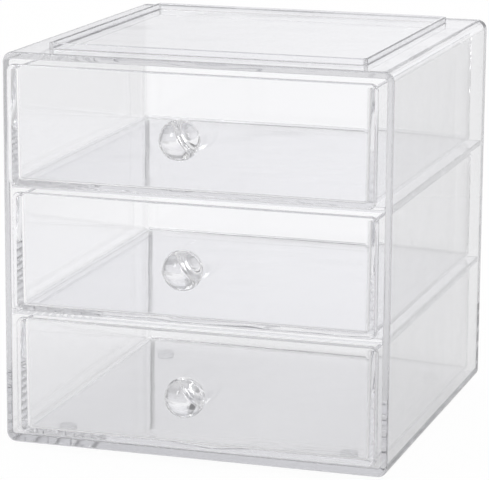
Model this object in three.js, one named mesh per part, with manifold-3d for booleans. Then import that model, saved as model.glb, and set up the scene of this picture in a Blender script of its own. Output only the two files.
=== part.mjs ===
// Clear acrylic organizer drawers: a moulded casing that is open at the front, two fixed shelves
// and three pull-out drawers, each with a ball knob. Millimetres, +Z up, the drawers face -Y.
// The origin is the middle of the footprint, knobs included, on the surface the feet stand on.
import * as THREE from "three";
import { mergeVertices } from "three/addons/utils/BufferGeometryUtils.js";
import Module from "manifold-3d";

const wasm = await Module();
wasm.setup();

// Casing
const casing_width = 178;
const casing_depth = 178;
const casing_height = 178;
const side_wall = 3;
const back_wall = 3;
const top_wall = 3;
const floor_wall = 4;
const casing_corner_radius = 4.5;
const casing_inner_radius = 1.5;

// Stacking ridge, a low square ring on the casing's top
const ridge_side_inset = 16;
const ridge_front_inset = 14;
const ridge_back_inset = 16;
const ridge_height = 3;
const ridge_thickness = 1.8;
const ridge_corner_radius = 2.5;
const ridge_least_inner_radius = 0.5;

// Feet, which nest inside the ridge of another unit
const foot_diameter = 8;
const foot_edge_radius = 0.9;
const nest_side_gap = 0.6;
const nest_height_gap = 0.4;

// Shelves
const shelf_names = ["lower_shelf", "upper_shelf"];
const shelf_thickness = 2.5;
const shelf_setback = 1;
const seat_gap = 0.3;

// Drawers
const front_plate = 2.5;
const plate_side_overlap = 1.5;
const plate_top_overlap = 2;
const drawer_wall = 1.9;
const drawer_floor = 2;
const drawer_side_gap = 2.1;
const drawer_rest_gap = 0.3;
const drawer_top_gap = 1.2;
const drawer_back_gap = 0.5;
const drawer_corner_radius = 3;
const drawer_rim_radius = 0.5;
const drawer_back_radius = 2.5;
const pocket_corner_radius = 2.4;
const pocket_floor_radius = 1.6;
const pocket_draft = 0.5;

// How far the drawers stand out in the rest pose. The lowest one is closed.
const middle_pull_out = 3.3;
const upper_pull_out = 7.8;
const drawer_levels = [
  { name: "lower", pull_out: 0 },
  { name: "middle", pull_out: middle_pull_out },
  { name: "upper", pull_out: upper_pull_out },
];

// Knobs
const ball_diameter = 18;
const neck_diameter = 7;
const neck_length = 2.6;
const peg_diameter = 5;

// One overrun serves every cut
const overrun = 1;
const corner_steps = 6;
const fillet_steps = 4;
const foot_edge_steps = 3;
const round_steps = 32;

// Sizes that follow from the ones above
const foot_height = ridge_height + nest_height_gap;
const casing_bottom = foot_height;
const casing_top = casing_bottom + casing_height;
const floor_top = casing_bottom + floor_wall;
const shelf_count = shelf_names.length;
const compartment_count = shelf_count + 1;
const inner_height = casing_height - floor_wall - top_wall;
const compartment_height = (inner_height - shelf_count * shelf_thickness) / compartment_count;
const level_pitch = compartment_height + shelf_thickness;
const inner_width = casing_width - 2 * side_wall;
const inner_depth = casing_depth - back_wall;
const shelf_width = inner_width - 2 * seat_gap;
const shelf_depth = inner_depth - seat_gap - shelf_setback;
const drawer_width = inner_width - 2 * drawer_side_gap;
const drawer_depth = inner_depth - drawer_back_gap;
const drawer_height = compartment_height - drawer_rest_gap - drawer_top_gap;
const trough_width = drawer_width - 2 * plate_side_overlap;
const trough_depth = drawer_depth - front_plate;
const trough_height = drawer_height - plate_top_overlap;
const ball_radius = ball_diameter / 2;
const neck_radius = neck_diameter / 2;
const peg_radius = peg_diameter / 2;
const ball_sink = ball_radius - Math.sqrt(ball_radius ** 2 - neck_radius ** 2);
const knob_reach = neck_length + ball_diameter - ball_sink;
const most_pulled = Math.max(...drawer_levels.map((level) => level.pull_out));
const casing_y = (most_pulled + knob_reach) / 2;
const front_y = casing_y - casing_depth / 2;
const back_y = casing_y + casing_depth / 2;

// Finishes
const clear_plastic = { color: 0xf1f3f5, roughness: 0.04, metalness: 0, transparent: true, opacity: 0.35 };
const soft_clear = { color: 0xe4e7ea, roughness: 0.35, metalness: 0, transparent: true, opacity: 0.6 };

// An outline round a centre, with one radius for its two lower and one for its two upper corners.
function rounded_outline(width, height, lower_radius, upper_radius) {
  const x = width / 2;
  const y = height / 2;
  const shape = new THREE.Shape();
  shape.moveTo(-x + lower_radius, -y);
  shape.lineTo(x - lower_radius, -y);
  shape.absarc(x - lower_radius, -y + lower_radius, lower_radius, -Math.PI / 2, 0);
  shape.lineTo(x, y - upper_radius);
  shape.absarc(x - upper_radius, y - upper_radius, upper_radius, 0, Math.PI / 2);
  shape.lineTo(-x + upper_radius, y);
  shape.absarc(-x + upper_radius, y - upper_radius, upper_radius, Math.PI / 2, Math.PI);
  shape.lineTo(-x, -y + lower_radius);
  shape.absarc(-x + lower_radius, -y + lower_radius, lower_radius, Math.PI, 1.5 * Math.PI);
  return shape;
}

// A front view outline carried backwards: x stays across, the outline's y becomes +Z.
function extrude_back(shape, depth) {
  const geometry = new THREE.ExtrudeGeometry(shape, { depth, bevelEnabled: false, curveSegments: corner_steps });
  geometry.rotateX(Math.PI / 2);
  geometry.translate(0, depth, 0);
  return geometry;
}

// A plan outline carried upwards.
function extrude_up(shape, depth) {
  return new THREE.ExtrudeGeometry(shape, { depth, bevelEnabled: false, curveSegments: corner_steps });
}

// A closed geometry as a solid for joining and cutting.
function solid(geometry) {
  const bare = geometry.clone();
  bare.deleteAttribute("normal");
  bare.deleteAttribute("uv");
  const merged = mergeVertices(bare, 1e-4);
  const vertProperties = new Float32Array(merged.attributes.position.array);
  const triVerts = new Uint32Array(merged.index.array);
  return new wasm.Manifold(new wasm.Mesh({ numProp: 3, vertProperties, triVerts }));
}

// A solid's surface back as a geometry.
function geometry_of(body) {
  const mesh = body.getMesh();
  const geometry = new THREE.BufferGeometry();
  geometry.setAttribute("position", new THREE.BufferAttribute(new Float32Array(mesh.vertProperties), 3));
  geometry.setIndex(new THREE.BufferAttribute(new Uint32Array(mesh.triVerts), 1));
  geometry.computeVertexNormals();
  return geometry;
}

// The ridge stands round the middle of the top and reaches down into it, so that the two join.
function ridge_geometry() {
  const width = casing_width - 2 * ridge_side_inset;
  const length = casing_depth - ridge_front_inset - ridge_back_inset;
  const inner_radius = Math.max(ridge_corner_radius - ridge_thickness, ridge_least_inner_radius);
  const ring = rounded_outline(width, length, ridge_corner_radius, ridge_corner_radius);
  const hole_width = width - 2 * ridge_thickness;
  const hole_length = length - 2 * ridge_thickness;
  ring.holes.push(rounded_outline(hole_width, hole_length, inner_radius, inner_radius));
  const geometry = extrude_up(ring, ridge_height + top_wall / 2);
  const ring_y = front_y + ridge_front_inset + length / 2;
  geometry.translate(0, ring_y, casing_top - top_wall / 2);
  return geometry;
}

// One moulding: a rounded block, hollowed from the front, with the ridge on top.
function casing_geometry() {
  const radius = casing_corner_radius;
  const block = extrude_back(rounded_outline(casing_width, casing_height, radius, radius), casing_depth);
  block.translate(0, front_y, casing_bottom + casing_height / 2);
  const mouth = rounded_outline(inner_width, inner_height, casing_inner_radius, casing_inner_radius);
  const hollow = extrude_back(mouth, inner_depth + overrun);
  hollow.translate(0, front_y - overrun, floor_top + inner_height / 2);
  return geometry_of(solid(block).subtract(solid(hollow)).add(solid(ridge_geometry())));
}

// A flat panel, bonded to the casing's side and back walls by its edges.
function shelf_geometry() {
  return new THREE.BoxGeometry(shelf_width, shelf_depth, shelf_thickness);
}

// A drawer's outside: a trough that its front view and its plan both cut, closed in front by a
// plate that stands proud of it at the sides and on top.
function drawer_outside() {
  const section = rounded_outline(trough_width, trough_height, drawer_corner_radius, drawer_rim_radius);
  const trough = extrude_back(section, trough_depth);
  trough.translate(0, front_plate, trough_height / 2);
  const plan_length = trough_depth + 2 * drawer_back_radius;
  const plan = extrude_up(
    rounded_outline(trough_width, plan_length, drawer_back_radius, drawer_back_radius),
    trough_height + 2 * overrun,
  );
  plan.translate(0, drawer_depth - plan_length / 2, -overrun);
  const face = rounded_outline(drawer_width, drawer_height, drawer_corner_radius, drawer_corner_radius);
  const plate = extrude_back(face, front_plate);
  plate.translate(0, 0, drawer_height / 2);
  return solid(trough).intersect(solid(plan)).add(solid(plate));
}

// A drawer's pocket: round corners, a round floor edge and walls that lean out by the draft.
function drawer_pocket() {
  const width = trough_width - 2 * drawer_wall;
  const length = trough_depth - drawer_wall;
  const height = trough_height - drawer_floor;
  const outline = rounded_outline(width, length, pocket_corner_radius, pocket_corner_radius);
  const geometry = new THREE.ExtrudeGeometry(outline, {
    depth: height - pocket_floor_radius + overrun,
    bevelThickness: pocket_floor_radius,
    bevelSize: pocket_floor_radius,
    bevelOffset: -pocket_floor_radius,
    bevelSegments: fillet_steps,
    curveSegments: corner_steps,
  });
  geometry.translate(0, 0, pocket_floor_radius);
  const point = new THREE.Vector3();
  const places = geometry.attributes.position;
  for (let i = 0; i < places.count; i++) {
    point.fromBufferAttribute(places, i);
    const lean = pocket_draft * (1 - point.z / height);
    point.x *= 1 - lean / (width / 2);
    point.y *= 1 - lean / (length / 2);
    places.setXYZ(i, point.x, point.y, point.z);
  }
  geometry.translate(0, front_plate + length / 2, drawer_floor);
  return solid(geometry);
}

// A one-piece tray with a hole in its front plate for the knob's peg.
function drawer_geometry() {
  const hole_radius = peg_radius + seat_gap;
  const hole = new THREE.CylinderGeometry(hole_radius, hole_radius, front_plate + 2 * overrun, round_steps);
  hole.translate(0, front_plate / 2, 0);
  hole.translate(0, 0, drawer_height / 2);
  return geometry_of(drawer_outside().subtract(drawer_pocket()).subtract(solid(hole)));
}

// A turned knob: peg, neck and ball, revolved round Y with the ball towards -Y.
function knob_geometry() {
  const neck_start = seat_gap;
  const ball_middle = neck_length - ball_sink + ball_radius;
  const profile = [
    new THREE.Vector2(0, front_plate),
    new THREE.Vector2(peg_radius, front_plate),
    new THREE.Vector2(peg_radius, -neck_start),
    new THREE.Vector2(neck_radius, -neck_start),
  ];
  const first_angle = Math.asin(neck_radius / ball_radius);
  for (let i = 0; i <= round_steps / 2; i++) {
    const angle = first_angle + ((Math.PI - first_angle) * i) / (round_steps / 2);
    const radius = i < round_steps / 2 ? ball_radius * Math.sin(angle) : 0;
    profile.push(new THREE.Vector2(radius, -ball_middle + ball_radius * Math.cos(angle)));
  }
  return new THREE.LatheGeometry(profile.reverse(), round_steps);
}

// A round foot with an eased lower edge.
function foot_geometry() {
  const radius = foot_diameter / 2;
  const profile = [new THREE.Vector2(0, 0)];
  for (let i = 0; i <= foot_edge_steps; i++) {
    const angle = (Math.PI / 2) * (i / foot_edge_steps);
    const inset = foot_edge_radius * (1 - Math.sin(angle));
    profile.push(new THREE.Vector2(radius - inset, foot_edge_radius * (1 - Math.cos(angle))));
  }
  profile.push(new THREE.Vector2(radius, foot_height - seat_gap));
  profile.push(new THREE.Vector2(0, foot_height - seat_gap));
  const geometry = new THREE.LatheGeometry(profile, round_steps / 2);
  geometry.rotateX(Math.PI / 2);
  return geometry;
}

// A named mesh with a material of its own.
function piece(name, geometry, finish) {
  const mesh = new THREE.Mesh(geometry, new THREE.MeshStandardMaterial(finish));
  mesh.name = name;
  return mesh;
}

// The casing, its shelves and its feet, which all stay still.
function fixed_pieces() {
  const group = new THREE.Group();
  group.add(piece("casing", casing_geometry(), clear_plastic));
  for (let i = 0; i < shelf_count; i++) {
    const shelf = piece(shelf_names[i], shelf_geometry(), clear_plastic);
    const shelf_bottom = floor_top + compartment_height + i * level_pitch;
    shelf.position.set(0, front_y + shelf_setback + shelf_depth / 2, shelf_bottom + shelf_thickness / 2);
    group.add(shelf);
  }
  const inside = ridge_thickness + nest_side_gap + foot_diameter / 2;
  const foot_x = casing_width / 2 - ridge_side_inset - inside;
  const foot_rows = { front: front_y + ridge_front_inset + inside, back: back_y - ridge_back_inset - inside };
  for (const [row, y] of Object.entries(foot_rows)) {
    for (const [side, sign] of [["left", -1], ["right", 1]]) {
      const foot = piece(`foot_${row}_${side}`, foot_geometry(), soft_clear);
      foot.position.set(sign * foot_x, y, 0);
      group.add(foot);
    }
  }
  return group;
}

// One drawer with its knob, at its level and as far out as it stands.
function drawer_group(level, index) {
  const group = new THREE.Group();
  group.add(piece(`${level.name}_drawer`, drawer_geometry(), clear_plastic));
  const knob = piece(`${level.name}_knob`, knob_geometry(), clear_plastic);
  knob.position.z = drawer_height / 2;
  group.add(knob);
  group.position.set(0, front_y - level.pull_out, floor_top + index * level_pitch + drawer_rest_gap);
  return group;
}

const organizer = new THREE.Group();
organizer.add(fixed_pieces());
drawer_levels.forEach((level, index) => organizer.add(drawer_group(level, index)));

export default organizer;
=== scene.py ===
# %% [markdown]
# # Clear acrylic drawers, dressed for the camera
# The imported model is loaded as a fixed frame. Every piece that shows is then modelled again over its
# CAD node, because clear plastic is all about its edges: the frame's edges are dead sharp, and a
# sharp edge bends no light. The real mouldings have eased edges, and these draw the grey and white
# lines that make a clear box visible at all.
# %% Load the frame
import math
import bmesh
import bpy
from mathutils import Matrix, Vector


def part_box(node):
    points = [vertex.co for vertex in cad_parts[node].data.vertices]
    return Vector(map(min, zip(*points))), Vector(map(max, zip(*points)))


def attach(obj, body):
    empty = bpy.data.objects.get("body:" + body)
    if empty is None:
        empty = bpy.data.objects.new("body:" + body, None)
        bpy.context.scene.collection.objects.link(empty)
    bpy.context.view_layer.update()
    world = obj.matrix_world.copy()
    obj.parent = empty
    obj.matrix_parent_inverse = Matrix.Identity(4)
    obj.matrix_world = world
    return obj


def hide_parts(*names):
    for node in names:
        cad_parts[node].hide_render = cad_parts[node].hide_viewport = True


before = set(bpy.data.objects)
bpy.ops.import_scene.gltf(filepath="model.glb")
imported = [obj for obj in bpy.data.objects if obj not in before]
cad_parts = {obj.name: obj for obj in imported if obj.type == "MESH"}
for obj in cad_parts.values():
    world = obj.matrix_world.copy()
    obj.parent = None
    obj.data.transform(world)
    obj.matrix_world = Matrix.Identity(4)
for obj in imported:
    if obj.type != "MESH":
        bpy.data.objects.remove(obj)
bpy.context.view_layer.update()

# %% [markdown]
# ## Working in millimetres
# The frame is in metres, but a moulding is easier to think of in millimetres. Each piece starts as a
# block or a turned profile with its front at y = 0 and its lower side at z = 0, and is scaled and
# set in its place in one last step. The places come from the CAD nodes' own boxes. Two places that
# lie within NEAR of each other count as the same.
# %% Sizes that several pieces share
MM = 0.001
EASE = 0.4
FINE_EASE = 0.3
NEAR = 0.01
LEVELS = (("lower", "drawer_low"), ("middle", "drawer_mid"), ("upper", "drawer_up"))


def node_box(node):
    """A CAD node's lowest and highest corner in millimetres."""
    low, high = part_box(node)
    return Vector(low) / MM, Vector(high) / MM


casing_low, casing_high = node_box("casing")
print("casing from", casing_low, "to", casing_high)


# %% [markdown]
# ### Finding edges
# Nearly every step below picks edges by what they are: by their direction, by where their middle
# lies, or by how sharply the surface turns there. A few small helpers do this, so that a step reads
# as what it does. ALONG and FACING say how straight an edge or a face must look along an axis.
# %% Helpers: a block and its edges
ALONG = 0.999
FACING = 0.99
SHARP = math.radians(40)


def block(width, depth, height):
    """A box with its front at y = 0, its underside at z = 0 and its middle at x = 0."""
    bm = bmesh.new()
    bmesh.ops.create_cube(bm, size=1)
    bmesh.ops.scale(bm, vec=(width, depth, height), verts=bm.verts)
    bmesh.ops.translate(bm, vec=(0, depth / 2, height / 2), verts=bm.verts)
    return bm


def runs_along(edge, axis):
    """True if the edge lies along x (0), y (1) or z (2)."""
    step = (edge.verts[1].co - edge.verts[0].co).normalized()
    return abs(step[axis]) > ALONG


def middle(edge):
    """The point halfway along an edge."""
    return (edge.verts[0].co + edge.verts[1].co) / 2


def round_over(bm, edges, radius, segments):
    """Rounds edges with a bevel of that radius."""
    bmesh.ops.bevel(
        bm, geom=edges, offset=radius, offset_type="OFFSET", segments=segments,
        profile=0.5, affect="EDGES", clamp_overlap=False, material=-1,
    )


def sharp_edges(bm):
    """All edges between two faces where the surface turns sharply."""
    bm.normal_update()
    return [e for e in bm.edges if len(e.link_faces) == 2 and e.calc_face_angle() > SHARP]


def points_of(geometry):
    """The points among what an operator returns."""
    return [g for g in geometry if isinstance(g, bmesh.types.BMVert)]


print("edges that turn by more than", round(math.degrees(SHARP)), "degrees are eased by", EASE, "mm")


# %% [markdown]
# ## Handing a piece over
# A finished bmesh becomes an object that rides on its CAD body and replaces its CAD node. All faces
# are shaded smooth, and a Weighted Normal modifier lets the large flat faces decide the normals, so
# that the flats stay flat and only the eased edges curve. On glass a wrong normal shows at once.
# %% Helpers: into the scene, and from bmesh to finished piece
WELD = 1e-4
FLATS_LEAD = 100


def put_in_scene(name, data):
    """A new object for a mesh, a camera or a lamp."""
    thing = bpy.data.objects.new(name, data)
    bpy.context.collection.objects.link(thing)
    return thing


def finish_piece(bm, name, body, node, material, place):
    """Clears stray points, sets a piece in its place, turns it into metres and hands it over."""
    bmesh.ops.dissolve_degenerate(bm, dist=WELD, edges=bm.edges[:])
    bmesh.ops.delete(bm, geom=[e for e in bm.edges if not e.link_faces], context="EDGES")
    bmesh.ops.translate(bm, vec=place, verts=bm.verts)
    bmesh.ops.scale(bm, vec=(MM, MM, MM), verts=bm.verts)
    bmesh.ops.recalc_face_normals(bm, faces=bm.faces)
    open_edges = sum(1 for e in bm.edges if len(e.link_faces) != 2)
    volume = bm.calc_volume() / MM**3
    mesh = bpy.data.meshes.new(name)
    bm.to_mesh(mesh)
    bm.free()
    mesh.shade_smooth()
    piece = put_in_scene(name, mesh)
    normals = piece.modifiers.new("Flat faces lead", "WEIGHTED_NORMAL")
    normals.weight = FLATS_LEAD
    normals.keep_sharp = True
    mesh.materials.append(material)
    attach(piece, body)
    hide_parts(node)
    print(f"{name}: {len(mesh.polygons)} faces, {open_edges} open edges, {volume:.0f} mm3")


# %% [markdown]
# ## What moulded acrylic looks like
# Clear acrylic is a dielectric with an index of about 1.49. Its surface is never perfect: large flats
# ripple a little from the mould, which bends the straight lines behind them, and handling leaves
# fine scuffs. Both are one shader node group, so that each moulding can have its own amount.
# %% Node group: the moulded surface
def node(tree, kind, **values):
    """Adds a node and sets its plain properties."""
    made = tree.nodes.new(kind)
    for key, value in values.items():
        setattr(made, key, value)
    return made


SURFACE_INPUTS = (
    ("Ripple Size", 30.0), ("Ripple Depth", 0.5), ("Scuff Size", 900.0), ("Scuff Amount", 0.2),
)
RIPPLE_DETAIL = 1.0
SCUFF_DETAIL, SCUFF_GRAIN = 6.0, 0.7
SCUFF_FROM, SCUFF_FULL = 0.58, 0.8
CLOUD_SIZE = 14.0


def moulded_surface():
    """Ripples and scuffs of a clear moulding, in object coordinates."""
    group = bpy.data.node_groups.new("Moulded surface", "ShaderNodeTree")
    sockets = group.interface
    for label, default in SURFACE_INPUTS:
        socket = sockets.new_socket(label, in_out="INPUT", socket_type="NodeSocketFloat")
        socket.default_value = default
    for label in ("Height", "Roughness", "Cloud"):
        sockets.new_socket(label, in_out="OUTPUT", socket_type="NodeSocketFloat")
    inside = node(group, "NodeGroupInput")
    outside = node(group, "NodeGroupOutput")
    place = node(group, "ShaderNodeTexCoord")
    ripple = node(group, "ShaderNodeTexNoise")
    ripple.inputs["Detail"].default_value = RIPPLE_DETAIL
    scuff = node(group, "ShaderNodeTexNoise")
    scuff.inputs["Detail"].default_value = SCUFF_DETAIL
    scuff.inputs["Roughness"].default_value = SCUFF_GRAIN
    cloud = node(group, "ShaderNodeTexNoise")
    cloud.inputs["Scale"].default_value = CLOUD_SIZE
    join = group.links.new
    for noise in (ripple, scuff, cloud):
        join(place.outputs["Object"], noise.inputs["Vector"])
    join(inside.outputs["Ripple Size"], ripple.inputs["Scale"])
    join(inside.outputs["Scuff Size"], scuff.inputs["Scale"])
    depth = node(group, "ShaderNodeMath", operation="MULTIPLY")
    join(ripple.outputs["Fac"], depth.inputs[0])
    join(inside.outputs["Ripple Depth"], depth.inputs[1])
    picked = node(group, "ShaderNodeMapRange", interpolation_type="SMOOTHSTEP")
    picked.inputs["From Min"].default_value = SCUFF_FROM
    picked.inputs["From Max"].default_value = SCUFF_FULL
    join(scuff.outputs["Fac"], picked.inputs["Value"])
    worn = node(group, "ShaderNodeMath", operation="MULTIPLY")
    join(picked.outputs["Result"], worn.inputs[0])
    join(inside.outputs["Scuff Amount"], worn.inputs[1])
    join(depth.outputs[0], outside.inputs["Height"])
    join(worn.outputs[0], outside.inputs["Roughness"])
    join(cloud.outputs["Fac"], outside.inputs["Cloud"])
    return group


surface_group = moulded_surface()
print("node group:", surface_group.name)


# %% [markdown]
# ### Clear plastic that is grey by the metre
# Across 2 or 3 mm acrylic is almost colourless. Light that enters a wall by its edge runs the whole
# length of the box in it, and by then a little of it is lost. So the material has two parts: a
# surface that is all but white and drifts between two tints, and a volume that absorbs with depth,
# slightly less in the blue. The edges turn grey by themselves, and the flats stay clear. In the
# photograph the casing's edges are greyer than the drawers', so it absorbs more, and the shelves'
# front edges are nearly white, so they absorb least.
# %% Material: clear moulded acrylic
MIX_A, MIX_B, MIXED = 6, 7, 2
ACRYLIC_INDEX = 1.49
BUMP_STRENGTH = 0.5
DEPTH_COLOUR = (0.6, 0.6, 0.625, 1)
CASING_DEPTH = 4.5
SHELF_DEPTH = 0.6
DRAWER_DEPTH = 1.8


def new_tree(material):
    """Switches a material or world to nodes and gives its node tree."""
    material.use_nodes = True
    return material.node_tree


def drifting_tint(tree, surface, shader, tints):
    """Lets the base colour drift between two tints with the surface's cloud."""
    tint = node(tree, "ShaderNodeMix", data_type="RGBA")
    for socket, colour in zip((MIX_A, MIX_B), tints):
        tint.inputs[socket].default_value = (*colour, 1)
    tree.links.new(surface.outputs["Cloud"], tint.inputs["Factor"])
    tree.links.new(tint.outputs[MIXED], shader.inputs["Base Color"])


def clear_plastic(name, tints, ripple, scuff_amount, density):
    """Clear acrylic: two near-white tints, the ripple's size and depth, scuffs, and absorption."""
    material = bpy.data.materials.new(name)
    tree = new_tree(material)
    join = tree.links.new
    shader = tree.nodes["Principled BSDF"]
    shader.inputs["IOR"].default_value = ACRYLIC_INDEX
    shader.inputs["Transmission Weight"].default_value = 1.0
    surface = node(tree, "ShaderNodeGroup", node_tree=surface_group)
    surface.inputs["Ripple Size"].default_value, surface.inputs["Ripple Depth"].default_value = ripple
    surface.inputs["Scuff Amount"].default_value = scuff_amount
    drifting_tint(tree, surface, shader, tints)
    join(surface.outputs["Roughness"], shader.inputs["Roughness"])
    bump = node(tree, "ShaderNodeBump")
    bump.inputs["Strength"].default_value = BUMP_STRENGTH
    bump.inputs["Distance"].default_value = MM
    join(surface.outputs["Height"], bump.inputs["Height"])
    join(bump.outputs["Normal"], shader.inputs["Normal"])
    depth = node(tree, "ShaderNodeVolumeAbsorption")
    depth.inputs["Color"].default_value = DEPTH_COLOUR
    depth.inputs["Density"].default_value = density
    join(depth.outputs[0], tree.nodes["Material Output"].inputs["Volume"])
    return material


CASING_TINTS = (0.975, 0.975, 0.985), (0.995, 0.995, 1.0)
SHELF_TINTS = (0.97, 0.972, 0.982), (0.99, 0.99, 1.0)
DRAWER_TINTS = (0.975, 0.975, 0.98), (0.995, 0.995, 0.998)
KNOB_TINTS = (0.985, 0.985, 0.99), (1.0, 1.0, 1.0)
CASING_RIPPLE = 22.0, 0.35
SHELF_RIPPLE = 16.0, 0.2
DRAWER_RIPPLE = 26.0, 0.35
KNOB_RIPPLE = 60.0, 0.05
SCUFFED, CLEANER = 0.03, 0.02
casing_clear = clear_plastic("Casing clear", CASING_TINTS, CASING_RIPPLE, SCUFFED, CASING_DEPTH)
shelf_clear = clear_plastic("Shelf clear", SHELF_TINTS, SHELF_RIPPLE, SCUFFED, SHELF_DEPTH)
drawer_clear = clear_plastic("Drawer clear", DRAWER_TINTS, DRAWER_RIPPLE, SCUFFED, DRAWER_DEPTH)
knob_clear = clear_plastic("Knob clear", KNOB_TINTS, KNOB_RIPPLE, CLEANER, DRAWER_DEPTH)
print("clear plastics:", [m.name for m in (casing_clear, shelf_clear, drawer_clear, knob_clear)])

# %% [markdown]
# ## The casing
# One moulding: a rounded block, hollow from the front, with a low ring on top in which another unit
# stands. A block gets its four long edges rounded first, because an inset of the front face then
# gives a mouth whose corners are rounded to match. The mouth is pushed back to hollow the block. The
# ring is two insets of the top face, with the strip between them pulled up.
# %% Casing: rounded block and its hollow
casing_width = casing_high.x - casing_low.x
casing_depth = casing_high.y - casing_low.y
RIDGE_HEIGHT = 3.0
casing_height = casing_high.z - casing_low.z - RIDGE_HEIGHT
WALL = 3.0
FLOOR = 4.0
CASING_ROUND, CASING_ROUND_STEPS = 4.5, 8

casing = block(casing_width, casing_depth, casing_height)
long_edges = [e for e in casing.edges if runs_along(e, 1)]
round_over(casing, long_edges, CASING_ROUND, CASING_ROUND_STEPS)
casing.normal_update()
mouth = min(casing.faces, key=lambda f: f.calc_center_median().y)
bmesh.ops.inset_individual(casing, faces=[mouth], thickness=WALL, use_even_offset=True)
low_rim = [v for v in mouth.verts if v.co.z < casing_height / 2]
bmesh.ops.translate(casing, vec=(0, 0, FLOOR - WALL), verts=low_rim)
mouth = bmesh.ops.extrude_discrete_faces(casing, faces=[mouth])["faces"][0]
bmesh.ops.translate(casing, vec=(0, casing_depth - WALL, 0), verts=mouth.verts)
print("mouth depth:", mouth.calc_center_median().y, "mm")

# %% Casing: the stacking ring
RIDGE_SIDE = 16.0
RIDGE_FRONT = 14.0
RIDGE_BACK = 16.0
RIDGE_THICK = 1.8
RING_INNER_ROUND, RING_INNER_STEPS = 0.7, 4
RING_OUTER_ROUND, RING_OUTER_STEPS = 2.5, 6
casing.normal_update()
top = max((f for f in casing.faces if f.normal.z > FACING), key=lambda f: f.calc_center_median().z)
bmesh.ops.inset_individual(casing, faces=[top], thickness=RIDGE_FRONT, use_even_offset=True)
ring_half = casing_width / 2 - RIDGE_SIDE
flat_half = max(v.co.x for v in top.verts)
bmesh.ops.scale(casing, vec=(ring_half / flat_half, 1, 1), verts=top.verts)
back_verts = [v for v in top.verts if v.co.y > casing_depth / 2]
bmesh.ops.translate(casing, vec=(0, RIDGE_FRONT - RIDGE_BACK, 0), verts=back_verts)
inset = bmesh.ops.inset_individual(casing, faces=[top], thickness=RIDGE_THICK, use_even_offset=True)
ring = inset["faces"]
lifted = bmesh.ops.extrude_face_region(casing, geom=ring)["geom"]
bmesh.ops.delete(casing, geom=ring, context="FACES_ONLY")
bmesh.ops.translate(casing, vec=(0, 0, RIDGE_HEIGHT), verts=points_of(lifted))


def ring_uprights(least, most):
    """The ring's upright edges whose distance from the middle plane lies between two values."""
    return [
        e for e in casing.edges
        if runs_along(e, 2) and middle(e).z > casing_height + NEAR and least < abs(middle(e).x) < most
    ]


ring_middle = ring_half - RIDGE_THICK / 2
round_over(casing, ring_uprights(0, ring_middle), RING_INNER_ROUND, RING_INNER_STEPS)
round_over(casing, ring_uprights(ring_middle, casing_width), RING_OUTER_ROUND, RING_OUTER_STEPS)
print("ring:", 2 * ring_half, "mm wide")

# %% [markdown]
# ### Eased edges
# The real moulding has no sharp edge. Its ring is softly rounded on top, its front rim is wide and
# round outside, and all other edges are just eased. Each rounding bends what lies behind it into a
# thin light and dark line, and on a clear box these lines are all that the eye can follow.
# %% Casing: eased edges
RING_ROUND = 0.6
RIM_EASE = 0.8
BACK_EASE = 0.6
EASE_STEPS, WIDE_EASE_STEPS = 3, 4


def faces_outwards(edge):
    """True if a face beside the edge looks away from the middle of the casing's front view."""
    spot = middle(edge) - Vector((0, 0, casing_height / 2))
    return max(face.normal.xz.dot(spot.xz) for face in edge.link_faces) > NEAR


ring_top = [e for e in sharp_edges(casing) if middle(e).z > casing_height + RIDGE_HEIGHT - NEAR]
round_over(casing, ring_top, RING_ROUND, WIDE_EASE_STEPS)
back_rim = [e for e in sharp_edges(casing) if middle(e).y > casing_depth - NEAR]
round_over(casing, back_rim, BACK_EASE, WIDE_EASE_STEPS)
front_rim = [e for e in sharp_edges(casing) if middle(e).y < NEAR and faces_outwards(e)]
round_over(casing, front_rim, RIM_EASE, WIDE_EASE_STEPS)
round_over(casing, sharp_edges(casing), EASE, EASE_STEPS)
finish_piece(
    casing, "Casing_moulding", "case", "casing", casing_clear,
    (0, casing_low.y, casing_low.z),
)

# %% [markdown]
# ## The shelves
# Two flat panels divide the casing into three bays. They are cut panels with eased edges, bonded at
# the sides and the back.
# %% Shelves
FINE_STEPS = 2

for level in ("lower", "upper"):
    low, high = node_box(f"{level}_shelf")
    panel = block(high.x - low.x, high.y - low.y, high.z - low.z)
    round_over(panel, panel.edges[:], FINE_EASE, FINE_STEPS)
    finish_piece(
        panel, f"Shelf_panel_{level}", "case", f"{level}_shelf", shelf_clear,
        (0, low.y, low.z),
    )

# %% [markdown]
# ## The drawers
# Each drawer is one moulded tray. Behind a thick front plate lies a trough with thin walls, and the
# plate stands proud of those walls at the sides and on top. In the photograph this shows as a grey
# band inside each side of a drawer's front: the end of a wall, seen through the plate.
#
# The trough is a block whose lower side edges and upright rear edges are rounded first. Its pocket
# is an inset of the top face that is pushed down, with its floor drawn in a little, as it must be
# to leave the mould. The pocket's corners and floor edge are rounded last. Two extra loops are cut
# across the block at PLATE_STEP and one STEP behind it, for the plate's back.
# %% Drawer sizes in millimetres
PLATE = 2.5
PLATE_SIDE = 1.5
PLATE_RISE = 2.0
TRAY_WALL = 1.9
TRAY_FLOOR = 2.0
TRAY_ROUND = 3.0
POCKET_ROUND = 2.4
POCKET_FLOOR_ROUND = 1.6
DRAFT = 0.5
PLATE_STEP = 2.2
STEP = 0.1
print("tray walls:", TRAY_WALL, "mm at the rim and", TRAY_WALL + DRAFT, "mm at the floor")


# %% Helpers: extra loops of edges, and an inset without diagonals
CUT_WELD = 1e-5


def cut_across(bm, y):
    """Adds a loop of edges where the plane at that depth crosses the piece."""
    everything = bm.verts[:] + bm.edges[:] + bm.faces[:]
    bmesh.ops.bisect_plane(bm, geom=everything, dist=CUT_WELD, plane_co=(0, y, 0), plane_no=(0, 1, 0))


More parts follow.
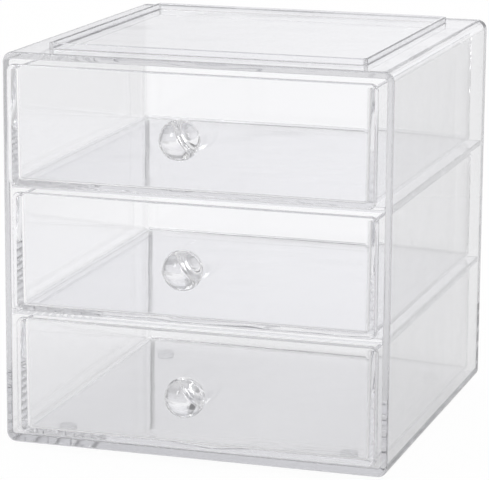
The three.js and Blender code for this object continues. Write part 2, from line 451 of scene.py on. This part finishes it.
def drop_diagonals(bm, edges):
    """Takes out the slanting edges that an inset leaves at its corners, which would fold a bevel."""
    slanting = [e for e in edges if not any(runs_along(e, axis) for axis in range(3))]
    bmesh.ops.dissolve_edges(bm, edges=slanting, use_verts=False)


print("extra loops at", PLATE_STEP, "mm and", STEP, "mm further back")


# %% The trough and its pocket
CORNER_STEPS = 6
POCKET_FLOOR_STEPS = 5


def tray(width, depth, height):
    """A trough of that size with a pocket, closed in front where the plate will be."""
    bm = block(width, depth, height)
    cut_across(bm, PLATE_STEP)
    cut_across(bm, PLATE_STEP + STEP)
    outside = [
        e for e in bm.edges
        if (runs_along(e, 1) and abs(middle(e).x) > width / 2 - NEAR and middle(e).z < NEAR)
        or (runs_along(e, 2) and middle(e).y > depth - NEAR)
    ]
    round_over(bm, outside, TRAY_ROUND, CORNER_STEPS)
    bm.normal_update()
    pocket = max((f for f in bm.faces if f.normal.z > FACING), key=lambda f: f.calc_area())
    bmesh.ops.inset_individual(bm, faces=[pocket], thickness=TRAY_WALL, use_even_offset=True)
    front = [v for v in pocket.verts if v.co.y < depth / 2]
    bmesh.ops.translate(bm, vec=(0, PLATE - PLATE_STEP - STEP - TRAY_WALL, 0), verts=front)
    drop_diagonals(bm, [e for v in front for e in v.link_edges])
    half = width / 2 - TRAY_WALL
    for side in (-1, 1):
        corner = Vector((side * half, depth - TRAY_WALL, height))
        arc = [v for v in pocket.verts if (v.co - corner).length < TRAY_WALL]
        grow = POCKET_ROUND / max((v.co - corner).length for v in arc)
        bmesh.ops.scale(bm, vec=(grow, grow, 1), verts=arc, space=Matrix.Translation(-corner))
    pocket = bmesh.ops.extrude_discrete_faces(bm, faces=[pocket])["faces"][0]
    bmesh.ops.translate(bm, vec=(0, 0, TRAY_FLOOR - height), verts=pocket.verts)
    length = (depth - PLATE - TRAY_WALL) / 2
    bmesh.ops.scale(
        bm, vec=(1 - DRAFT / half, 1 - DRAFT / length, 1), verts=pocket.verts,
        space=Matrix.Translation(-pocket.calc_center_bounds()),
    )
    uprights = [e for e in bm.edges if runs_along(e, 2) and PLATE - STEP < middle(e).y < PLATE + DRAFT]
    round_over(bm, uprights, POCKET_ROUND, CORNER_STEPS)
    bm.normal_update()
    floor = next(f for f in bm.faces if f.normal.z > FACING and f.calc_center_median().z < height / 2)
    round_over(bm, floor.edges[:], POCKET_FLOOR_ROUND, POCKET_FLOOR_STEPS)
    return bm


print("pocket corners:", POCKET_ROUND, "mm, and its floor's edge:", POCKET_FLOOR_ROUND, "mm")


# %% [markdown]
# ### The hole for the knob
# Each knob sits on a peg that goes through the plate. A square cell is cut free in the plate's flat
# front and in its flat back, and inset. Its edges are divided and moved onto a circle, and the two
# circles are joined by a sleeve. The rest of the plate stays flat, so no ripple shows round the hole.
# %% Helper: a round hole in a flat face
PEG_HOLE = 2.8
HOLE_CELL = 8.0
HOLE_CUTS = 7


def open_round_hole(bm, face, centre):
    """Opens a round hole in an upright flat face: a square cell is cut free, inset and rounded."""
    patch = [face]
    for axis, offset in ((0, -HOLE_CELL), (0, HOLE_CELL), (2, -HOLE_CELL), (2, HOLE_CELL)):
        spot, across = Vector((0, 0, centre)), Vector((0, 0, 0))
        spot[axis] += offset
        across[axis] = 1
        around = patch + [e for f in patch for e in f.edges] + [v for f in patch for v in f.verts]
        cut = bmesh.ops.bisect_plane(
            bm, geom=list(dict.fromkeys(around)), dist=CUT_WELD, plane_co=spot, plane_no=across
        )
        patch = [g for g in cut["geom"] if isinstance(g, bmesh.types.BMFace)]
    cell = min(patch, key=lambda f: (f.calc_center_median() - Vector((0, 0, centre))).xz.length)
    bmesh.ops.inset_individual(bm, faces=[cell], thickness=HOLE_CELL / 2, use_even_offset=True)
    bmesh.ops.subdivide_edges(bm, edges=cell.edges[:], cuts=HOLE_CUTS)
    lean = cell.normal.copy()
    middle_point = cell.calc_center_bounds()
    for point in cell.verts:
        x, z = point.co.xz - middle_point.xz
        shrink = PEG_HOLE / math.hypot(x, z)
        x, z = x * shrink, z * shrink
        point.co = middle_point + Vector((x, -(lean.x * x + lean.z * z) / lean.y, z))
    rim = cell.edges[:]
    bmesh.ops.delete(bm, geom=[cell], context="FACES_ONLY")
    return rim


print("hole for the peg:", 2 * PEG_HOLE, "mm wide, with", 4 * (HOLE_CUTS + 1), "sides")


# %% [markdown]
# ### The front plate
# The trough's front part is scaled up to the plate's size. Two loops of edges that were cut across
# it for this are moved close together, where they make the plate's flat back. Its front outline gets
# a wide soft edge: this draws the thin dark lines that show where a drawer ends.
# %% Helpers: the trough's rim and the plate's back
RIM_ROUND = 0.5
SLOPE = 0.02


def is_outer_rim(edge, depth, height):
    """True for the trough's upper outline, apart from its front edge and the pocket's."""
    spot = middle(edge)
    if spot.z < height - NEAR or spot.y < NEAR:
        return False
    side = min(edge.link_faces, key=lambda f: f.normal.z).normal
    return side.x * spot.x + side.y * (spot.y - depth / 2) > 0


def spread_plate(bm, trough, plate):
    """Widens the trough's front part to the plate's size, with a flat back that meets the pocket."""
    front = [v for v in bm.verts if v.co.y < PLATE_STEP + STEP / 2]
    bmesh.ops.scale(bm, vec=(plate.x / trough.x, 1, plate.z / trough.z), verts=front)
    for y, goal in ((PLATE_STEP, PLATE - 2 * SLOPE), (PLATE_STEP + STEP, PLATE - SLOPE)):
        loop = [v for v in bm.verts if abs(v.co.y - y) < STEP / 4]
        bmesh.ops.translate(bm, vec=(0, goal - y, 0), verts=loop)


print("the plate's back leans by", 2 * SLOPE, "mm at most")


# %% Helpers: the plate's corners, its hole and its eased edges
PLATE_EASE = 0.8
CLEAR_OF_PLATE = 1.0
PEG_WELD = 0.1


def can_ease(edge, peg):
    """True where the faces beside a sharp edge have room for an eased edge."""
    spot = middle(edge)
    if (spot - peg).xz.length < HOLE_CELL:
        return False
    at_plate_back = abs(spot.y - PLATE + 2 * SLOPE) < SLOPE / 2
    above_floor = at_plate_back and spot.z > CLEAR_OF_PLATE and edge.is_convex
    return abs(spot.y - PLATE) > CLEAR_OF_PLATE or above_floor


def finish_front(bm, trough, plate):
    """Eases the rim, spreads the plate with its rounded corners and opens the peg's hole."""
    width, depth, height = trough
    rim = [e for e in sharp_edges(bm) if is_outer_rim(e, depth, height)]
    round_over(bm, rim, RIM_ROUND, CORNER_STEPS)
    for side in (-1, 1):
        corner = Vector((side * width / 2, 0, height))
        arc = [
            v for v in bm.verts
            if v.co.y < PLATE_STEP + STEP / 2 and side * (corner.x - v.co.x) < RIM_ROUND + NEAR
            and corner.z - v.co.z < RIM_ROUND + NEAR
        ]
        grow = TRAY_ROUND / RIM_ROUND
        bmesh.ops.scale(bm, vec=(grow, 1, grow), verts=arc, space=Matrix.Translation(-corner))
    spread_plate(bm, trough, plate)
    bm.normal_update()
    front = min(bm.faces, key=lambda f: f.calc_center_median().y)
    behind = max(
        (f for f in bm.faces if f.normal.y > FACING and f.calc_center_median().y < 2 * PLATE),
        key=lambda f: f.calc_area(),
    )
    peg = Vector((0, 0, plate.z / 2))
    near_rim = open_round_hole(bm, front, peg.z)
    far_rim = open_round_hole(bm, behind, peg.z)
    sleeve = points_of(bmesh.ops.extrude_edge_only(bm, edges=near_rim)["geom"])
    bmesh.ops.translate(bm, vec=(0, middle(far_rim[0]).y, 0), verts=sleeve)
    far_points = list(dict.fromkeys(v for e in far_rim for v in e.verts))
    bmesh.ops.remove_doubles(bm, verts=sleeve + far_points, dist=PEG_WELD)
    bmesh.ops.recalc_face_normals(bm, faces=bm.faces)
    outline = [e for e in sharp_edges(bm) if middle(e).y < NEAR and can_ease(e, peg)]
    round_over(bm, outline, PLATE_EASE, WIDE_EASE_STEPS)
    round_over(bm, [e for e in sharp_edges(bm) if can_ease(e, peg)], EASE, EASE_STEPS)
    for edge in sharp_edges(bm):
        edge.smooth = False


print("plate outline eased by", PLATE_EASE, "mm, all other edges by", EASE, "mm")


# %% Three drawers
for level, body in LEVELS:
    low, high = node_box(f"{level}_drawer")
    plate = high - low
    trough = plate - Vector((2 * PLATE_SIDE, 0, PLATE_RISE))
    drawer = tray(*trough)
    finish_front(drawer, trough, plate)
    finish_piece(
        drawer, f"Drawer_tray_{level}", body, f"{level}_drawer", drawer_clear,
        (0, low.y, low.z),
    )

# %% [markdown]
# ## The ball knobs
# A knob is a turned shape: a clear ball on a short neck, with a peg that goes through the plate. The
# ball's half outline is drawn by swinging a single point round the ball's middle, the neck and peg
# are added point by point, and the outline is then spun round the peg's axis.
# %% Ball knobs
BALL, BALL_STEPS = 9.0, 40
NECK = 3.5
SHOULDER = -0.3
PEG = 2.5
TURN_STEPS = 64
KNOB_WELD = 1e-3


def knob(reach, peg_end):
    """A knob round the y axis, its ball towards -y and its plate's front at y = 0."""
    bm = bmesh.new()
    centre = Vector((0, BALL - reach, 0))
    tip = bmesh.ops.create_vert(bm, co=centre - Vector((0, BALL, 0)))["vert"][0]
    swing = math.pi - math.asin(NECK / BALL)
    bmesh.ops.spin(bm, geom=[tip], axis=(0, 0, 1), cent=centre, angle=swing, steps=BALL_STEPS)
    last = max(bm.verts, key=lambda v: v.co.y)
    for x, y in ((NECK, SHOULDER), (PEG, SHOULDER), (PEG, peg_end), (0, peg_end)):
        last = bmesh.ops.extrude_vert_indiv(bm, verts=[last])["verts"][0]
        last.co = (x, y, 0)
    outline = bm.verts[:] + bm.edges[:]
    bmesh.ops.spin(
        bm, geom=outline, axis=(0, 1, 0), cent=(0, 0, 0), angle=2 * math.pi, steps=TURN_STEPS,
        use_merge=True,
    )
    bmesh.ops.remove_doubles(bm, verts=bm.verts, dist=KNOB_WELD)
    bmesh.ops.recalc_face_normals(bm, faces=bm.faces)
    return bm


for level, body in LEVELS:
    low, high = node_box(f"{level}_knob")
    plate_front = node_box(f"{level}_drawer")[0].y
    ball = knob(plate_front - low.y, high.y - plate_front)
    round_over(ball, sharp_edges(ball), FINE_EASE, FINE_STEPS)
    finish_piece(
        ball, f"Ball_knob_{level}", body, f"{level}_knob", knob_clear,
        (0, plate_front, (low.z + high.z) / 2),
    )

# %% [markdown]
# ## The feet
# Four small pads of soft clear plastic. They keep the ridge of the unit below free, and are milky
# rather than clear, so their material lets light through but scatters it. The tints, the scuffs and
# the haze are plain values of the same surface group.
# %% Material: milky soft plastic
PAD_INDEX = 1.45
PAD_CLEARNESS = 0.7
PAD_SCUFFS = 0.3
PAD_HAZE = 0.3
PAD_TINTS = (0.86, 0.87, 0.885), (0.94, 0.945, 0.95)

foot_soft = bpy.data.materials.new("Foot soft")
tree = new_tree(foot_soft)
shader = tree.nodes["Principled BSDF"]
shader.inputs["IOR"].default_value = PAD_INDEX
shader.inputs["Transmission Weight"].default_value = PAD_CLEARNESS
skin = node(tree, "ShaderNodeGroup", node_tree=surface_group)
skin.inputs["Scuff Amount"].default_value = PAD_SCUFFS
drifting_tint(tree, skin, shader, PAD_TINTS)
haze = node(tree, "ShaderNodeMath", operation="ADD")
haze.inputs[1].default_value = PAD_HAZE
tree.links.new(skin.outputs["Roughness"], haze.inputs[0])
tree.links.new(haze.outputs[0], shader.inputs["Roughness"])
print("foot material:", foot_soft.name)

# %% Feet
PAD_EASE = 0.9
PAD_SIDES = 32

for corner in ("front_left", "front_right", "back_left", "back_right"):
    low, high = node_box(f"foot_{corner}")
    pad = bmesh.new()
    bmesh.ops.create_circle(pad, cap_ends=True, radius=(high.x - low.x) / 2, segments=PAD_SIDES)
    pulled = bmesh.ops.extrude_face_region(pad, geom=pad.faces[:])["geom"]
    bmesh.ops.translate(pad, vec=(0, 0, high.z), verts=points_of(pulled))
    lower_edge = [e for e in sharp_edges(pad) if middle(e).z < NEAR]
    round_over(pad, lower_edge, PAD_EASE, WIDE_EASE_STEPS)
    finish_piece(
        pad, f"Foot_pad_{corner}", "case", f"foot_{corner}", foot_soft,
        ((low.x + high.x) / 2, (low.y + high.y) / 2, 0),
    )

# %% [markdown]
# ## The camera
# The camera stands where the photograph's was, as fitted to the corners and outline of the casing.
# It is far away with a long lens, so the box narrows only a little towards its back. It looks down
# by a little more than 12 degrees and is turned about its own line of sight by less than half a
# degree, as the photograph is. Depth of field stays off, because the whole box is sharp there.
# %% Camera
FRAME_WIDTH = 489
SENSOR = 36.0
SIDEWAYS = math.radians(17.525)
ABOVE = math.radians(12.266)
ROLL = math.radians(0.405)
FOCAL_PIXELS = 2699.9
CAMERA_PLACE = Vector((367.76, -1165.58, 353.27))

camera_data = bpy.data.cameras.new("Camera")
camera_data.sensor_width = SENSOR
camera_data.lens = FOCAL_PIXELS / FRAME_WIDTH * SENSOR
camera = put_in_scene("Camera", camera_data)
level_back = Vector((math.sin(SIDEWAYS), -math.cos(SIDEWAYS), 0))
back = level_back * math.cos(ABOVE) + Vector((0, 0, math.sin(ABOVE)))
right = (-back).cross(Vector((0, 0, 1))).normalized()
up = back.cross(right)
turned_right = right * math.cos(ROLL) + up * math.sin(ROLL)
turned_up = up * math.cos(ROLL) - right * math.sin(ROLL)
axes = Matrix((turned_right, turned_up, back)).transposed().to_4x4()
camera.matrix_world = Matrix.Translation(CAMERA_PLACE * MM) @ axes
bpy.context.scene.camera = camera
print("lens:", round(camera_data.lens, 1), "mm")

# %% [markdown]
# ## The sheet it stands on
# Clear things are photographed on a white sheet that is lit until it is as bright as the background.
# The floor here is such a sheet: a plain grid whose paint is part matt white, which takes the box's
# soft shadow, and part glow, which keeps it white.
#
# What the box shows is mostly this sheet, seen through and in its walls. Near the box the real sheet
# is a little darker, because the box shades it, and it darkens to the right of the box. A lamp would
# have to be shaded to the same effect, so the paint does it instead: the glow grows with the distance
# from the box and falls off to the right, but only for rays that come through or off the plastic.
# %% Helper: arithmetic between sockets
def maths(tree, operation, first, second):
    """A Math node on two values, each a socket or a number."""
    made = node(tree, "ShaderNodeMath", operation=operation)
    for socket, value in zip(made.inputs, (first, second)):
        if isinstance(value, (int, float)):
            socket.default_value = value
        else:
            tree.links.new(value, socket)
    return made.outputs[0]


def eased(tree, value, start, end, low, high):
    """A value that runs from low to high while another runs from start to end."""
    made = node(tree, "ShaderNodeMapRange", interpolation_type="SMOOTHSTEP")
    tree.links.new(value, made.inputs["Value"])
    for label, number in (("From Min", start), ("From Max", end), ("To Min", low), ("To Max", high)):
        made.inputs[label].default_value = number
    return made.outputs["Result"]


# %% The sheet's paint
SHEET_WHITE = 0.9
CAMERA_GLOW = 0.97
GLOW_START, GLOW_END = 0.1, 0.6
NEAR_GLOW, FAR_GLOW = 0.6, 1.0
DIM_START, DIM_END = 0.0, 0.18
MOST_DIM = 0.3

sheet_paint = bpy.data.materials.new("White sheet")
tree = new_tree(sheet_paint)
tree.nodes.clear()
join = tree.links.new
place = node(tree, "ShaderNodeTexCoord")
reach = node(tree, "ShaderNodeVectorMath", operation="LENGTH")
join(place.outputs["Object"], reach.inputs[0])
parts = node(tree, "ShaderNodeSeparateXYZ")
join(place.outputs["Object"], parts.inputs[0])
rays = node(tree, "ShaderNodeLightPath")
bent = maths(tree, "MAXIMUM", rays.outputs["Is Glossy Ray"], rays.outputs["Is Transmission Ray"])
bent_glow = eased(tree, reach.outputs["Value"], GLOW_START, GLOW_END, NEAR_GLOW, FAR_GLOW)
seen = maths(tree, "MULTIPLY", rays.outputs["Is Camera Ray"], CAMERA_GLOW)
share = maths(tree, "MAXIMUM", seen, maths(tree, "MULTIPLY", bent, bent_glow))
dim = eased(tree, parts.outputs["X"], DIM_START, DIM_END, 0.0, MOST_DIM)
brightness = maths(tree, "SUBTRACT", 1.0, maths(tree, "MULTIPLY", bent, dim))
matt = node(tree, "ShaderNodeBsdfDiffuse")
join(maths(tree, "MULTIPLY", brightness, SHEET_WHITE), matt.inputs["Color"])
glow = node(tree, "ShaderNodeEmission")
join(brightness, glow.inputs["Strength"])
mix = node(tree, "ShaderNodeMixShader")
join(share, mix.inputs["Fac"])
join(matt.outputs[0], mix.inputs[1])
join(glow.outputs[0], mix.inputs[2])
join(mix.outputs[0], node(tree, "ShaderNodeOutputMaterial").inputs["Surface"])
print("sheet:", len(tree.nodes), "nodes")

# %% The sheet itself
SHEET_HALF = 4.0
sheet_mesh = bpy.data.meshes.new("White sheet")
sheet_bm = bmesh.new()
bmesh.ops.create_grid(sheet_bm, x_segments=1, y_segments=1, size=SHEET_HALF)
sheet_bm.to_mesh(sheet_mesh)
sheet_bm.free()
sheet_mesh.materials.append(sheet_paint)
sheet = put_in_scene("White sheet", sheet_mesh)
print("sheet:", sheet.dimensions.x, "m wide")

# %% [markdown]
# ## The tent round it
# A white world alone leaves clear plastic invisible: every edge shows white on white. A photographer
# puts the object in a white tent and hangs dark and grey cards in it, and each rounded edge picks one
# of them up as a thin line. The world here is such a tent. It is white for the camera and for the
# light that falls on matt things. Rays that come off the plastic find soft grey bands in it, some
# upright, which depend on the turn from straight behind, and some level, which depend on the height.
# The world may use its own direction as a coordinate, which is what Generated means here.
# %% Helper: bands of grey
COOLER = 1.01


def shades(tree, value, stops):
    """A colour ramp of greys on a value, from pairs of place and shade."""
    ramp = node(tree, "ShaderNodeValToRGB")
    ramp.color_ramp.interpolation = "EASE"
    band = ramp.color_ramp.elements
    while len(band) < len(stops):
        band.new(1.0)
    for element, (spot, shade) in zip(band, stops):
        element.position = spot
        element.color = (shade, shade, min(1.0, shade * COOLER), 1)
    tree.links.new(value, ramp.inputs["Fac"])
    return ramp.outputs["Color"]


# %% World: the tent
UPRIGHT_BANDS = (
    (0.0, 1.0), (0.14, 0.98), (0.27, 0.88), (0.33, 0.22), (0.43, 0.22), (0.5, 0.9),
    (0.62, 1.0), (0.7, 0.95), (0.78, 0.05), (0.87, 0.9), (1.0, 1.0),
)
LEVEL_BANDS = (
    (0.0, 1.0), (0.08, 0.9), (0.22, 0.88), (0.3, 0.45), (0.38, 0.45), (0.46, 0.9),
    (0.62, 1.0), (0.7, 0.9), (0.8, 0.05), (0.9, 0.9), (1.0, 1.0),
)
QUARTER = math.pi / 2

world = bpy.data.worlds.new("Studio tent")
bpy.context.scene.world = world
tree = new_tree(world)
join = tree.links.new
direction = node(tree, "ShaderNodeTexCoord")
parts = node(tree, "ShaderNodeSeparateXYZ")
join(direction.outputs["Generated"], parts.inputs[0])
across = maths(tree, "ABSOLUTE", parts.outputs["X"], 0)
along = maths(tree, "ABSOLUTE", parts.outputs["Y"], 0)
turn = maths(tree, "DIVIDE", maths(tree, "ARCTAN2", across, along), QUARTER)
lift = maths(tree, "DIVIDE", maths(tree, "ARCSINE", parts.outputs["Z"], 0), QUARTER)
tent = node(tree, "ShaderNodeMix", data_type="RGBA", blend_type="MULTIPLY")
tent.inputs["Factor"].default_value = 1.0
join(shades(tree, turn, UPRIGHT_BANDS), tent.inputs[MIX_A])
join(shades(tree, lift, LEVEL_BANDS), tent.inputs[MIX_B])
rays = node(tree, "ShaderNodeLightPath")
unbent = maths(tree, "MAXIMUM", rays.outputs["Is Camera Ray"], rays.outputs["Is Diffuse Ray"])
plain = node(tree, "ShaderNodeMix", data_type="RGBA")
plain.inputs[MIX_B].default_value = (1, 1, 1, 1)
join(unbent, plain.inputs["Factor"])
join(tent.outputs[MIXED], plain.inputs[MIX_A])
join(plain.outputs[MIXED], tree.nodes["Background"].inputs["Color"])
print("tent:", len(UPRIGHT_BANDS), "upright and", len(LEVEL_BANDS), "level stops")

# %% [markdown]
# ## Two softboxes
# The tent lights everything from all sides. Two soft lamps add what a tent can't: a bright spot on
# each ball and a shadow with a direction. They stand high at the left of the camera and at the
# right of the box, and are weak, so that nothing pale turns into bare white.
# %% Softboxes
BOX_MIDDLE = Vector((0, 0, 0.09))
FRONT_PLACE, FRONT_SIZE, FRONT_WATTS = (-0.75, -1.15, 1.0), (0.35, 0.55), 4.0
SIDE_PLACE, SIDE_SIZE, SIDE_WATTS = (1.3, -0.35, 0.9), (0.25, 0.6), 3.0


def softbox(name, place, size, power):
    """A rectangular lamp that faces the middle of the box, sizes in metres and power in watts."""
    lamp = bpy.data.lights.new(name, "AREA")
    lamp.shape = "RECTANGLE"
    lamp.size, lamp.size_y = size
    lamp.energy = power
    box = put_in_scene(name, lamp)
    box.location = place
    box.rotation_euler = (BOX_MIDDLE - Vector(place)).to_track_quat("-Z", "Y").to_euler()
    print(f"{name}: {power} W at {place}")


softbox("Front softbox", FRONT_PLACE, FRONT_SIZE, FRONT_WATTS)
softbox("Side softbox", SIDE_PLACE, SIDE_SIZE, SIDE_WATTS)

# %% [markdown]
# ## Bounces and colours
# Light that enters a thin wall by its edge is caught in it and runs along it, reflected from side to
# side dozens of times. With the usual dozen bounces such paths end in black, so far more are allowed
# here. The Standard view shows a colour as it is written.
# %% Finish
BOUNCES = 200
SEE_THROUGH_BOUNCES = 16
scene = bpy.context.scene
scene.view_settings.view_transform = "Standard"
scene.cycles.max_bounces = BOUNCES
scene.cycles.glossy_bounces = BOUNCES
scene.cycles.transmission_bounces = BOUNCES
scene.cycles.transparent_max_bounces = SEE_THROUGH_BOUNCES
